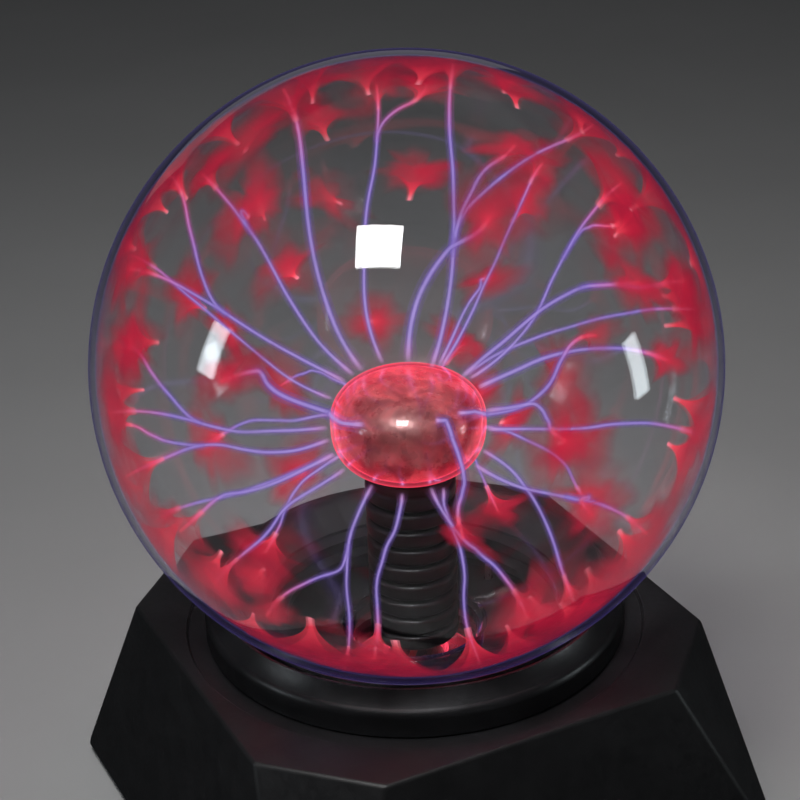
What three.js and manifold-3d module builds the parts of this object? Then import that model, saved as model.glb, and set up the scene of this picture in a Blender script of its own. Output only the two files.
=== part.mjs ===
// A plasma ball: a sealed glass globe with a ribbed electrode stem, on a faceted black base that holds its
// high-voltage driver. Millimetres, +Z up. The origin is on the resting plane, straight under the globe's
// centre. The back face, with the power inlet, the mode switch and the microphone, is +Y.
import * as THREE from "three";
import { ConvexGeometry } from "three/addons/geometries/ConvexGeometry.js";
import { mergeVertices } from "three/addons/utils/BufferGeometryUtils.js";
import Module from "manifold-3d";

const wasm = await Module();
wasm.setup();

// ---- Driving dimensions ----

const gap = 0.3; // between two pieces that touch
const footHeight = 3; // the base stands this far above the table
const baseTop = 83; // top face of the base
const globeCentre = 176; // height of the globe's centre
const globeRadius = 101.5; // an 8 inch globe
const glassWall = 2;
const neckRadius = 24; // outside of the globe's neck
const neckEnd = -116; // lower rim of the neck, from the globe's centre

const bulbCentre = -19; // height of the bulb's widest ring, from the globe's centre
const bulbRadius = 25.6;
const bulbDome = 16; // the bulb's top is flatter than its bowl
const bulbBowl = 18.5;
const domeFullness = 2.3; // 2 is an ellipse, and more is squarer
const bowlFullness = 2.7;
const bulbWall = 1.2;
const stemRadius = 10; // outside of the stem tube
const sleeveRadius = 15.2; // crest of a rib
const ribPitch = 6.8;
const ribCount = 9;

const topReach = 82.4; // from the axis to the long edges of the base's top face
const cornerReach = 94.9; // from the axis to the short edges across its corners
const footReach = 93.65; // from the axis to the sides of its square foot
const shellWall = 2.5;
const stepRadius = 77.7; // the round recess in the top face
const stepDepth = 1.5;
const openingRadius = 45; // hole in the top face, which the globe hangs into
const collarRadius = 71.3;

const coverThickness = 3;
const boardBottom = 14;
const boardThickness = 1.6;
const boardHalfWidth = 48;
const boardFront = 10;
const boardBack = 85;
const housingFront = 87.2; // front faces of the inlet and the switch, just inside the back wall

const portHeight = 21.4; // the inlet, the switch and the microphone share this height
const port = { inletX: -30, inletHole: 4.5, switchX: 0, microphoneX: 28, soundHole: 1 };
const slider = { halfWidth: 2, halfHeight: 2, carrierHalf: 3.5, travel: 8 };

// ---- Helpers ----

const degrees = THREE.MathUtils.degToRad;

// Profile points on an arc of an ellipse. The angles, in degrees, turn from outwards to upwards.
function arc(centre, radii, start, end, steps) {
  const [r, z] = centre;
  const [across, up] = radii;
  return Array.from({ length: steps + 1 }, (_, i) => {
    const angle = degrees(start + ((end - start) * i) / steps);
    return [r + across * Math.cos(angle), z + up * Math.sin(angle)];
  });
}

// The angle at which a circle, or an ellipse across `radius`, has come in to the distance r from the axis.
function angleAt(r, radius) {
  return THREE.MathUtils.radToDeg(Math.acos(r / radius));
}

// A three.js geometry as a solid, with its faces turned outwards.
function solid(geometry) {
  const bare = geometry.index ? geometry.toNonIndexed() : geometry;
  const positions = new THREE.BufferGeometry().setAttribute("position", bare.getAttribute("position"));
  const merged = mergeVertices(positions, 1e-3);
  const vertProperties = merged.getAttribute("position").array;
  const triVerts = new Uint32Array(merged.index.array);
  const made = new wasm.Manifold(new wasm.Mesh({ numProp: 3, vertProperties, triVerts }));
  return made.volume() > 0
    ? made
    : new wasm.Manifold(new wasm.Mesh({ numProp: 3, vertProperties, triVerts: triVerts.reverse() }));
}

// A profile of [radius, height] points turned about the vertical axis. Where both ends aren't on the axis,
// the profile closes on itself.
function turned(profile, segments = 20) {
  const onAxis = profile[0][0] === 0;
  const points = onAxis ? profile : [...profile, profile[0]];
  const outline = points.map(([r, z]) => new THREE.Vector2(r, z));
  return solid(new THREE.LatheGeometry(outline, segments).rotateX(Math.PI / 2));
}

// A box from its lowest to its highest corner.
function block([x0, y0, z0], [x1, y1, z1]) {
  const box = new THREE.BoxGeometry(x1 - x0, y1 - y0, z1 - z0);
  return solid(box.translate((x0 + x1) / 2, (y0 + y1) / 2, (z0 + z1) / 2));
}

// A round bar that stands on z0 and ends at z1, about the point x, y.
function bar(radius, z0, z1, x = 0, y = 0, segments = 12) {
  const cylinder = new THREE.CylinderGeometry(radius, radius, z1 - z0, segments).rotateX(Math.PI / 2);
  return solid(cylinder.translate(x, y, (z0 + z1) / 2));
}

// A round bar along Y.
function barAlongY(radius, y0, y1, x, z, segments = 24) {
  const cylinder = new THREE.CylinderGeometry(radius, radius, y1 - y0, segments);
  return solid(cylinder.translate(x, (y0 + y1) / 2, z));
}

// The convex solid round a list of [x, y, z] points.
function convex(points) {
  return solid(new ConvexGeometry(points.map((p) => new THREE.Vector3(...p))));
}

function join(first, ...rest) {
  return rest.reduce((whole, next) => whole.add(next), first);
}

function cut(first, ...rest) {
  return rest.reduce((whole, next) => whole.subtract(next), first);
}

// The four corners (±x, ±y).
function corners(x, y = x) {
  return [[x, y], [-x, y], [-x, -y], [x, -y]];
}

// Points spaced evenly on a circle, the first at the angle given.
function ring(count, radius, first = 90) {
  return Array.from({ length: count }, (_, i) => {
    const angle = degrees(first + (360 * i) / count);
    return [radius * Math.cos(angle), radius * Math.sin(angle)];
  });
}

function finish(color, roughness, metalness = 0) {
  return { color, roughness, metalness };
}

const clearGlass = { ...finish(0xe8ecf4, 0.03), transparent: true, opacity: 0.25 };
const lining = finish(0xc98a94, 0.25, 0.9);
const blackPlastic = finish(0x0d0d0f, 0.45);
const blackRubber = finish(0x101012, 0.8);
const steel = finish(0x9a9ca0, 0.35, 1);
const boardGreen = finish(0x1d4a2c, 0.6);
const ferrite = finish(0x2a2a2c, 0.7);
const potting = finish(0x16161a, 0.4);
const copper = finish(0xb4683a, 0.35, 0.9);
const chipBlack = finish(0x141416, 0.6);
const sinkAluminium = finish(0xb8babc, 0.4, 1);
const canSleeve = finish(0x1c2a4a, 0.4);
const wireRed = finish(0x8c1a18, 0.5);

const plasmaBall = new THREE.Group();
const globeParts = new THREE.Group();
globeParts.position.z = globeCentre;
const baseParts = new THREE.Group();
plasmaBall.add(globeParts, baseParts);

// Adds a solid to a group as a named mesh with a material of its own.
function piece(group, name, made, look, position = [0, 0, 0]) {
  const { vertProperties, triVerts } = made.getMesh();
  const geometry = new THREE.BufferGeometry();
  geometry.setAttribute("position", new THREE.BufferAttribute(vertProperties, 3));
  geometry.setIndex(new THREE.BufferAttribute(triVerts, 1));
  geometry.computeVertexNormals();
  const mesh = new THREE.Mesh(geometry, new THREE.MeshStandardMaterial(look));
  mesh.name = name;
  mesh.position.set(...position);
  group.add(mesh);
}

// ---- Globe and electrode, measured from the globe's centre ----

const bigRing = 40; // segments of the pieces that share the globe's curve
const neckBore = neckRadius - glassWall;

// The lower half of a sphere about the globe's centre, between two distances from the axis.
function globeCurve(radius, from, to, steps) {
  return arc([0, 0], [radius, radius], -angleAt(from, radius), -angleAt(to, radius), steps);
}

function globeGlass() {
  const arcSteps = 16;
  const inside = globeRadius - glassWall;
  const outer = arc([0, 0], [globeRadius, globeRadius], 90, -angleAt(neckRadius, globeRadius), arcSteps);
  const inner = arc([0, 0], [inside, inside], -angleAt(neckBore, inside), 90, arcSteps);
  outer[0][0] = 0;
  inner[arcSteps][0] = 0;
  return turned([...outer, [neckRadius, neckEnd], [neckBore, neckEnd], ...inner], bigRing);
}

// A quarter of a superellipse about the bulb's centre, from its widest ring in to the distance r from the
// axis. `up` is below 0 for the bowl.
function bulbQuarter(across, up, fullness, r, steps) {
  const power = 2 / fullness;
  const end = Math.acos((r / across) ** (1 / power));
  return Array.from({ length: steps + 1 }, (_, i) => {
    const angle = (end * i) / steps;
    return [across * Math.cos(angle) ** power, bulbCentre + up * Math.sin(angle) ** power];
  });
}

// Half of the bulb's outline, inset from its outer face, from the top down to the distance r from the axis.
function bulbOutline(inset, r, steps = 5) {
  const across = bulbRadius - inset;
  const dome = bulbQuarter(across, bulbDome - inset, domeFullness, 0, steps).reverse();
  const bowl = bulbQuarter(across, inset - bulbBowl, bowlFullness, r, steps);
  dome[0][0] = 0;
  return [...dome, ...bowl.slice(1)];
}

// Bulb, stem tube and the trumpet-shaped seal that closes the globe's neck, blown as one piece.
function electrodeGlass() {
  const sealRadius = neckBore - gap;
  const sealTop = neckEnd + 2.5;
  const sealThickness = 1.7;
  const flareTop = sealTop + 9;
  const stemTop = bulbCentre - bulbBowl;
  const outer = [
    ...bulbOutline(0, stemRadius + 1),
    [stemRadius, stemTop],
    [stemRadius, flareTop],
    [stemRadius + 1.6, sealTop + 4],
    [stemRadius + 6, sealTop + 1],
    [sealRadius, sealTop],
  ];
  const inner = [
    [sealRadius, sealTop - sealThickness],
    [stemRadius + 5, sealTop - 1],
    [stemRadius + 0.6, sealTop + 2.4],
    [stemRadius - bulbWall, flareTop],
    [stemRadius - bulbWall, stemTop],
    ...bulbOutline(bulbWall, stemRadius).reverse(),
  ];
  return turned([...outer, ...inner]);
}

// Thin metal lining against the inside of the bulb, open where the lead comes in.
function electrodeLining() {
  const outside = bulbWall + gap;
  const inside = outside + 0.7;
  const opening = 9;
  return turned([...bulbOutline(outside, opening), ...bulbOutline(inside, opening).reverse()]);
}

// Insulating sleeve: a plain neck under the bulb, then a stack of rounded ribs down to the globe's floor.
function stemSleeve() {
  const bore = stemRadius + gap;
  const groove = 12.7;
  const neckTop = bulbCentre - bulbBowl - gap;
  const neckHeight = 2.4;
  const ribHeight = 5.6;
  const roundedEdge = 1.2;
  const outer = [[groove, neckTop], [groove, neckTop - neckHeight]];
  for (let rib = 0; rib < ribCount; rib++) {
    const top = neckTop - neckHeight - rib * ribPitch - (ribPitch - ribHeight) / 2;
    outer.push([groove, top]);
    outer.push([sleeveRadius, top - roundedEdge]);
    outer.push([sleeveRadius, top - ribHeight + roundedEdge]);
    outer.push([groove, top - ribHeight]);
  }
  const end = neckTop - neckHeight - ribCount * ribPitch;
  return turned([...outer, [groove, end], [bore, end], [bore, neckTop]]);
}

// Short glass pip, open at its top and drawn to a closed tip, through which the globe was filled.
function exhaustStub() {
  const radius = 2.6;
  const wall = 0.8;
  const tip = -15;
  return turned(
    [
      [0, tip],
      [1.2, tip + 0.6],
      [radius, tip + 5],
      [radius, 0],
      [radius - wall, 0],
      [radius - wall, tip + 5.4],
      [0, tip + 2.4],
    ],
    12,
  );
}

const stubOffset = 15; // the stub hangs between the stem and the neck

piece(globeParts, "globe_glass", globeGlass(), clearGlass);
piece(globeParts, "electrode_glass", electrodeGlass(), clearGlass);
piece(globeParts, "electrode_lining", electrodeLining(), lining);
piece(globeParts, "stem_sleeve", stemSleeve(), blackRubber);
piece(globeParts, "exhaust_stub", exhaustStub(), clearGlass, [stubOffset, 0, neckEnd - gap]);

// ---- Collar, gasket and the clamp on the neck ----

const screwHole = 1.5;
const screwClearance = 1.8;
const screwHead = { radius: 2.8, height: 1.4, edge: 0.6 };
const recessFloor = baseTop - stepDepth;
const floorUnderside = recessFloor - shellWall;
const collarScrews = ring(3, 62);
const clampScrews = ring(3, 50, -90);
const collarSeat = globeRadius + 1.6; // radius of the collar's seat, about the globe's centre

// Pan-head screw, head down: the origin is under the head, and the shank points up.
function screw(shankLength) {
  const { radius, height, edge } = screwHead;
  const shank = 1.2;
  const point = 0.8;
  return turned(
    [
      [0, -height],
      [radius - edge, -height],
      [radius, -height + edge],
      [radius, 0],
      [shank, 0],
      [shank, shankLength - point],
      [0, shankLength],
    ],
    10,
  );
}

// Moulded ring with a rounded shoulder, cored from below, with a boss over each of its screws.
function globeCollar() {
  const bottom = recessFloor + gap - globeCentre;
  const shoulder = baseTop + 5.5 - globeCentre;
  const shoulderRound = 3.5;
  const wall = 2.5;
  const lip = 64.6;
  const innerEdge = 50;
  const bossRadius = 4;
  const bossTop = bottom + 9;
  const seatCurve = globeCurve(collarSeat, lip, innerEdge, 4);
  const coreCurve = globeCurve(collarSeat + wall, innerEdge + wall, lip - 2, 3);
  const [, lipHeight] = seatCurve[0];
  const ringShape = turned(
    [
      [collarRadius, bottom],
      [collarRadius, shoulder],
      ...arc([collarRadius - shoulderRound, shoulder], [shoulderRound, shoulderRound], 20, 62, 3),
      [lip + 1.6, lipHeight + 1.3],
      [lip + 0.5, lipHeight + 1.2],
      ...seatCurve,
      [innerEdge, bottom],
      [innerEdge + wall, bottom],
      ...coreCurve,
      [collarRadius - wall, shoulder],
      [collarRadius - wall, bottom],
    ],
    bigRing,
  );
  const bosses = collarScrews.map(([x, y]) => bar(bossRadius, bottom, bossTop, x, y));
  const holes = collarScrews.map(([x, y]) => bar(screwHole, bottom - 1, bossTop - 1.5, x, y));
  return cut(join(ringShape, ...bosses), ...holes);
}

// Rubber ring that lines the collar's seat.
function globeGasket() {
  const outerEdge = 62;
  const innerEdge = 53;
  const outside = globeCurve(collarSeat - gap, outerEdge, innerEdge, 3);
  const inside = globeCurve(globeRadius + gap, innerEdge, outerEdge, 3);
  return turned([...outside, ...inside], bigRing);
}

const clampTop = 69;
const clampUnderside = clampTop - 3;

// Flat ring round the globe's neck, screwed to three posts of the base.
function globeClamp() {
  const outer = bar(56, clampUnderside, clampTop, 0, 0, bigRing);
  const bore = bar(neckRadius + 0.5, 0, clampTop + 1, 0, 0, bigRing);
  const holes = clampScrews.map(([x, y]) => bar(screwClearance, 0, clampTop + 1, x, y));
  return cut(outer, bore, ...holes);
}

piece(globeParts, "globe_collar", globeCollar(), blackPlastic);
piece(globeParts, "globe_gasket", globeGasket(), blackRubber);
collarScrews.forEach(([x, y], i) => {
  piece(baseParts, `collar_screw_${i + 1}`, screw(8.5), steel, [x, y, floorUnderside - gap]);
});
piece(baseParts, "globe_clamp", globeClamp(), blackPlastic);
clampScrews.forEach(([x, y], i) => {
  piece(baseParts, `clamp_screw_${i + 1}`, screw(10), steel, [x, y, clampUnderside - gap]);
});

// ---- Base shell, cover and feet ----

const coverTop = footHeight + coverThickness;
const coverPosts = corners(62);
const flare = (footReach - topReach) / (baseTop - footHeight); // how fast the long faces lean out
const cornerFlare = (footReach * Math.SQRT2 - cornerReach) / (baseTop - footHeight);

// The base's solid outline, moved in by a wall's thickness: eight-sided above, where a flat crosses each
// corner, and square at the foot, where those flats have come to a point.
function baseBody(inset, top, bottom) {
  const points = [];
  for (const z of [top, bottom]) {
    const side = topReach + flare * (baseTop - z) - inset;
    const diagonal = cornerReach + cornerFlare * (baseTop - z) - inset;
    const along = Math.min(diagonal * Math.SQRT2 - side, side);
    for (const [x, y] of [...corners(side, along), ...corners(along, side)]) points.push([x, y, z]);
  }
  return convex(points);
}

// The space inside the shell, open below.
function baseInterior(inset) {
  return baseBody(inset, recessFloor - shellWall, footHeight - 1);
}

// Where the outside of the back face is at a height.
function backFace(z) {
  return topReach + flare * (baseTop - z);
}

function baseShell() {
  const cornerPostRadius = 4.5;
  const clampPostRadius = 4;
  const slotHalfWidth = slider.travel / 2 + slider.halfWidth + 0.6;
  const slotHalfHeight = slider.halfHeight + 0.5;
  const outsideBack = footReach + 1;
  const hollow = cut(baseBody(0, baseTop, footHeight), baseInterior(shellWall));
  const cornerPosts = coverPosts.map(([x, y]) =>
    bar(cornerPostRadius, coverTop + gap, baseTop - shellWall, x, y),
  );
  const clampPosts = clampScrews.map(([x, y]) => bar(clampPostRadius, clampTop + gap, recessFloor - 1, x, y));
  const cuts = [
    bar(stepRadius, recessFloor, baseTop + 1, 0, 0, 60),
    bar(openingRadius, 0, baseTop + 1, 0, 0, bigRing),
    ...coverPosts.map(([x, y]) => bar(screwHole, 0, coverTop + 14, x, y)),
    ...clampScrews.map(([x, y]) => bar(screwHole, 0, clampTop + 9, x, y)),
    ...collarScrews.map(([x, y]) => bar(screwClearance, 0, baseTop, x, y)),
    barAlongY(port.inletHole, topReach, outsideBack, port.inletX, portHeight),
    barAlongY(port.soundHole, topReach, outsideBack, port.microphoneX, portHeight, 12),
    block(
      [port.switchX - slotHalfWidth, topReach, portHeight - slotHalfHeight],
      [port.switchX + slotHalfWidth, outsideBack, portHeight + slotHalfHeight],
    ),
  ];
  return cut(join(hollow, ...cornerPosts, ...clampPosts), ...cuts);
}

const boardPosts = [[42, 18], [-42, 18], [-42, 76], [42, 76]];
const footPlaces = corners(76);
const footRadius = 8;
const footRecess = 1;
const headRecess = 2;
const ventPitch = 8;
const ventCount = 7;

// Closing plate inside the shell's lower rim, with recesses for the feet and the screw heads, posts for the
// circuit board and a row of cooling slots.
function bottomCover() {
  const slab = block([-footReach, -footReach, footHeight], [footReach, footReach, coverTop]);
  const plate = slab.intersect(baseInterior(shellWall + gap));
  const posts = boardPosts.map(([x, y]) => bar(3.5, coverTop - 1, boardBottom - gap, x, y));
  const headHole = screwHead.radius + 0.6;
  const vents = Array.from({ length: ventCount }, (_, i) => {
    const x = (i - (ventCount - 1) / 2) * ventPitch;
    return block([x - 1.5, -50, 0], [x + 1.5, -20, coverTop + 1]);
  });
  const cuts = [
    ...footPlaces.map(([x, y]) => bar(footRadius + gap, 0, footHeight + footRecess, x, y, 20)),
    ...coverPosts.map(([x, y]) => bar(headHole, 0, footHeight + headRecess, x, y)),
    ...coverPosts.map(([x, y]) => bar(screwClearance, 0, coverTop + 1, x, y)),
    ...boardPosts.map(([x, y]) => bar(screwHole, coverTop, boardBottom, x, y)),
  ];
  return cut(join(plate, ...posts), ...cuts, ...vents);
}

// Round rubber pad with a rounded lower edge, its top in a recess of the cover.
function rubberFoot() {
  const top = footHeight + footRecess - gap;
  const edge = 1;
  return turned([[0, 0], [footRadius - edge, 0], [footRadius, edge], [footRadius, top], [0, top]]);
}

piece(baseParts, "base_shell", baseShell(), blackPlastic);
piece(baseParts, "bottom_cover", bottomCover(), blackPlastic);
footPlaces.forEach(([x, y], i) => {
  piece(baseParts, `rubber_foot_${i + 1}`, rubberFoot(), blackRubber, [x, y, 0]);
});
coverPosts.forEach(([x, y], i) => {
  piece(baseParts, `cover_screw_${i + 1}`, screw(14), steel, [x, y, footHeight + headRecess - gap]);
});

// ---- Circuit board and what stands on it ----

const boardTop = boardBottom + boardThickness;
const seat = boardTop + gap; // lowest point of the pieces on the board
const places = {
  powerTransistor: [32, 47],
  filterCapacitor1: [-36, 50],
  filterCapacitor2: [-36, 62],
  timerChip: [-16, 56],
  audioChip: [4, 60],
};

function circuitBoard() {
  const plate = block([-boardHalfWidth, boardFront, boardBottom], [boardHalfWidth, boardBack, boardTop]);
  return cut(plate, ...boardPosts.map(([x, y]) => bar(screwClearance, 0, boardTop + 1, x, y)));
}

const coreCentre = { y: 34, halfWidth: 20, leg: 9, height: 34 };
const legX = coreCentre.halfWidth - coreCentre.leg / 2;

// Closed rectangle of ferrite on the board, its two legs upright.
function flybackCore() {
  const { y, halfWidth, leg, height } = coreCentre;
  const top = seat + height;
  const frame = block([-halfWidth, y - leg / 2, seat], [halfWidth, y + leg / 2, top]);
  const windowHalf = halfWidth - leg;
  return cut(frame, block([-windowHalf, y - leg, seat + leg], [windowHalf, y + leg, top - leg]));
}

// A winding round one upright leg of the core.
function winding({ radius, halfHeight, edge }) {
  const bore = 6.8;
  return turned([
    [radius - edge, -halfHeight],
    [radius, -halfHeight + edge],
    [radius, halfHeight - edge],
    [radius - edge, halfHeight],
    [bore, halfHeight],
    [bore, -halfHeight],
  ]);
}

const coilMiddle = seat + coreCentre.height / 2;
const highVoltageCoil = { radius: 14.5, halfHeight: 7.5, edge: 1 };
const primaryCoil = { radius: 9.4, halfHeight: 7, edge: 0.4 };

// Insulated wire from the top of the high-voltage winding, through the stem, into the bulb.
function highVoltageLead() {
  const radius = 1.3;
  const startY = coreCentre.y - 11;
  const coilTop = coilMiddle + highVoltageCoil.halfHeight + gap;
  const points = [
    [-legX, startY, coilTop],
    [-legX, startY, coilTop + 6],
    [-9, 12, 54],
    [-1.5, 2, 61],
    [0, 0, 70],
    [0, 0, 95],
    [0, 0, globeCentre + bulbCentre - 6],
  ];
  const path = new THREE.CatmullRomCurve3(points.map((p) => new THREE.Vector3(...p)));
  const section = new THREE.Shape().absarc(0, 0, radius, 0, 2 * Math.PI);
  const tube = { steps: 24, curveSegments: 4, bevelEnabled: false, extrudePath: path };
  return solid(new THREE.ExtrudeGeometry(section, tube));
}

const transistorBack = 2.2; // from the transistor's middle to the flat back of its tab

// Three-legged power device with a metal tab, its flat back against the heat sink.
function powerTransistor() {
  const legs = [-2.5, 0, 2.5].map((x) => block([x - 0.4, -0.3, 0], [x + 0.4, 0.3, 5]));
  const body = block([-5, -transistorBack, 4.5], [5, 1, 13.5]);
  const tab = block([-5, 1, 4.5], [5, transistorBack, 20]);
  return join(body, tab, ...legs);
}

// Extruded strip with upright fins on the side away from the transistor.
function heatSink() {
  const plate = 2.4;
  const finReach = 12;
  const finThickness = 1.4;
  const finPitch = 4;
  const finCount = 7;
  const height = 24;
  const width = finPitch * (finCount - 1) + finThickness;
  const outline = new THREE.Shape().moveTo(0, 0);
  for (let fin = 0; fin < finCount; fin++) {
    const x = fin * finPitch;
    outline.lineTo(x, finReach).lineTo(x + finThickness, finReach).lineTo(x + finThickness, plate);
    if (fin < finCount - 1) outline.lineTo(x + finPitch, plate);
  }
  outline.lineTo(width, 0).closePath();
  const strip = new THREE.ExtrudeGeometry(outline, { depth: height, bevelEnabled: false });
  return solid(strip.translate(-width / 2, 0, 0));
}

// Electrolytic capacitor: a can with a rolled groove near its lower end.
function capacitor(radius, height) {
  return turned(
    [
      [0, 0],
      [radius, 0],
      [radius, 1.4],
      [radius - 0.4, 2],
      [radius, 2.6],
      [radius, height - 0.6],
      [radius - 0.6, height],
      [0, height],
    ],
    20,
  );
}

// Eight-legged chip in a socketless package.
function chip() {
  const body = block([-4.8, -3.2, 0.6], [4.8, 3.2, 4]);
  const legs = [-3.8, -1.27, 1.27, 3.8].flatMap((x) => [
    block([x - 0.35, -4, 0], [x + 0.35, -3.4, 2.4]),
    block([x - 0.35, -4, 1.8], [x + 0.35, -3, 2.4]),
    block([x - 0.35, 3.4, 0], [x + 0.35, 4, 2.4]),
    block([x - 0.35, 3, 1.8], [x + 0.35, 4, 2.4]),
  ]);
  return join(body, ...legs);
}

// The same screw as the others, turned over to point down.
function boardScrew() {
  return screw(6).mirror([0, 0, 1]);
}

function onBoard([x, y]) {
  return [x, y, seat];
}

piece(baseParts, "circuit_board", circuitBoard(), boardGreen);
boardPosts.forEach(([x, y], i) => {
  piece(baseParts, `board_screw_${i + 1}`, boardScrew(), steel, [x, y, boardTop + gap]);
});
piece(baseParts, "flyback_core", flybackCore(), ferrite);
piece(baseParts, "flyback_coil", winding(highVoltageCoil), potting, [-legX, coreCentre.y, coilMiddle]);
piece(baseParts, "primary_winding", winding(primaryCoil), copper, [legX, coreCentre.y, coilMiddle]);
piece(baseParts, "high_voltage_lead", highVoltageLead(), wireRed);
const [transistorX, transistorY] = places.powerTransistor;
const heatSinkPlace = [transistorX, transistorY + transistorBack + gap];
piece(baseParts, "power_transistor", powerTransistor(), chipBlack, onBoard(places.powerTransistor));
piece(baseParts, "heat_sink", heatSink(), sinkAluminium, onBoard(heatSinkPlace));
piece(baseParts, "filter_capacitor_1", capacitor(5, 16), canSleeve, onBoard(places.filterCapacitor1));
piece(baseParts, "filter_capacitor_2", capacitor(4, 12), canSleeve, onBoard(places.filterCapacitor2));
piece(baseParts, "timer_chip", chip(), chipBlack, onBoard(places.timerChip));
piece(baseParts, "audio_chip", chip(), chipBlack, onBoard(places.audioChip));

// ---- Inlet, switch and microphone at the back ----

const jack = { halfWidth: 4.6, depth: 14, boreRadius: 3.2, boreDepth: 10, pinRadius: 1.05 };

// Square housing of the power inlet, with a round bore that is open at the back of the base.
function inletHousing() {
  const { halfWidth, depth, boreRadius, boreDepth } = jack;
  const body = block(
    [port.inletX - halfWidth, housingFront - depth, seat],
    [port.inletX + halfWidth, housingFront, portHeight + 5.2],
  );
  const bore = barAlongY(boreRadius, housingFront - boreDepth, housingFront + 1, port.inletX, portHeight);
  return cut(body, bore);
}

// Round contact pin in the middle of the inlet, its nose set back from the mouth.
function inletPin() {
  const { boreDepth, pinRadius } = jack;
  const back = housingFront - boreDepth + gap;
  const nose = housingFront - 1;
  const edge = 0.5;
  const rounded = [[pinRadius, nose - edge], [pinRadius - edge, nose]];
  return turned([[0, back], [pinRadius, back], ...rounded, [0, nose]], 16).rotate([-90, 0, 0]);
}

const sliderRest = port.switchX - slider.travel / 2;
const switchDepth = 11;

// Housing of the slide switch, with the track that the slider runs in.
function switchHousing() {
  const half = slider.travel / 2 + slider.carrierHalf + gap;
  const body = block(
    [port.switchX - half - 1.5, housingFront - switchDepth, seat],
    [port.switchX + half + 1.5, housingFront, portHeight + 4.4],
  );
  const track = block(
    [port.switchX - half, housingFront - switchDepth + 3, portHeight - slider.halfHeight - gap],
    [port.switchX + half, housingFront + 1, portHeight + slider.halfHeight + gap],
  );
  return cut(body, track);
}

// Carrier inside the housing and a ridged thumb knob outside the wall, moulded as one.
function switchSlider() {
  const { halfWidth, halfHeight, carrierHalf } = slider;
  const knobEnd = backFace(portHeight) + 2.2;
  const carrier = block(
    [-carrierHalf, housingFront - switchDepth + 3 + gap, -halfHeight],
    [carrierHalf, housingFront - 1, halfHeight],
  );
  const stalk = block([-halfWidth, housingFront - 2, -halfHeight], [halfWidth, knobEnd - 0.6, halfHeight]);
  const ridges = [-1.6, 0, 1.6].map((x) =>
    block([x - 0.4, knobEnd - 1, -halfHeight], [x + 0.4, knobEnd, halfHeight]),
  );
  return join(carrier, stalk, ...ridges);
}

const microphoneLength = 5.2;

// Electret capsule: a short can with a shallow round recess in its front, facing the wall.
function microphone() {
  const radius = 4.85;
  const edge = 0.5;
  const shoulder = microphoneLength - edge;
  const can = turned([
    [0, 0],
    [radius, 0],
    [radius, shoulder],
    [radius - edge, microphoneLength],
    [2, microphoneLength],
    [2, shoulder],
    [0, shoulder],
  ]);
  return can.rotate([-90, 0, 0]);
}

piece(baseParts, "dc_jack_housing", inletHousing(), blackPlastic);
piece(baseParts, "dc_jack_pin", inletPin(), steel, [port.inletX, 0, portHeight]);
piece(baseParts, "mode_switch_housing", switchHousing(), steel);
piece(baseParts, "mode_switch_slider", switchSlider(), blackPlastic, [sliderRest, 0, portHeight]);
const microphoneBack = housingFront - 0.5 - microphoneLength;
piece(baseParts, "microphone_capsule", microphone(), sinkAluminium, [
  port.microphoneX,
  microphoneBack,
  portHeight,
]);

export default plasmaBall;
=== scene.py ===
"""A plasma ball on a pale floor: clear glass, black plastic and the discharge inside, in metres."""

from math import acos, cos, degrees, hypot, radians, sin, sqrt, tau
from random import Random

import bmesh
import bpy
from mathutils import Matrix, Quaternion, Vector, noise


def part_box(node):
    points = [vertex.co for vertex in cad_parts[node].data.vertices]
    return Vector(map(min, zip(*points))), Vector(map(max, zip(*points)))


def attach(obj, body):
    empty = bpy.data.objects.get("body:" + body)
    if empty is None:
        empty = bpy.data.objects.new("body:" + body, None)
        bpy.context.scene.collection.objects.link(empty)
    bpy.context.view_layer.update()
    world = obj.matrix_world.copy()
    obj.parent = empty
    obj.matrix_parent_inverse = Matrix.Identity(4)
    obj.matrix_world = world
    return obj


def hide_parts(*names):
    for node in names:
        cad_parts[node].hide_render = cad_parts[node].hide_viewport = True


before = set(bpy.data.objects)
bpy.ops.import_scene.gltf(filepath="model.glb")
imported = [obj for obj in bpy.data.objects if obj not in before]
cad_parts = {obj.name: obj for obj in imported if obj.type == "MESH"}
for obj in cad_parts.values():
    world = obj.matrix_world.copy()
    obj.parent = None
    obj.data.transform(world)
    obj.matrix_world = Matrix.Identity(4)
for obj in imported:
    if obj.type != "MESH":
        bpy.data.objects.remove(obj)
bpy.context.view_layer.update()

MM = 0.001

# ---- Places that the frame gives ----

GLOBE_LOW, GLOBE_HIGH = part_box("globe_glass")
ELECTRODE_LOW, ELECTRODE_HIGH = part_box("electrode_glass")
SLEEVE_LOW, SLEEVE_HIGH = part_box("stem_sleeve")
COLLAR_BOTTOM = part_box("globe_collar")[0].z
SHELL_LOW, SHELL_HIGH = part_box("base_shell")
JACK_LOW, JACK_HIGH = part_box("dc_jack_housing")
KNOB_LOW, KNOB_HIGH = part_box("mode_switch_slider")
BASE_TOP = SHELL_HIGH.z
PORT_HEIGHT = (KNOB_LOW.z + KNOB_HIGH.z) / 2

# ---- The real object's measures ----

GLOBE_RADIUS = 101.5 * MM
GLOBE_WALL = 2 * MM
GLOBE_CENTRE = Vector((0, 0, GLOBE_HIGH.z - GLOBE_RADIUS))
INSIDE_RADIUS = GLOBE_RADIUS - GLOBE_WALL

# The bulb is a superellipse turned about the axis. A fullness of 2 is an ellipse, and more is squarer.
BULB_RADIUS = 25.6 * MM
BULB_DOME = 16 * MM
BULB_BOWL = 18.5 * MM
DOME_FULLNESS = 2.3
BOWL_FULLNESS = 2.7
BULB_WALL = 1.2 * MM
BULB_CENTRE = Vector((0, 0, ELECTRODE_HIGH.z - BULB_DOME))

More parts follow.
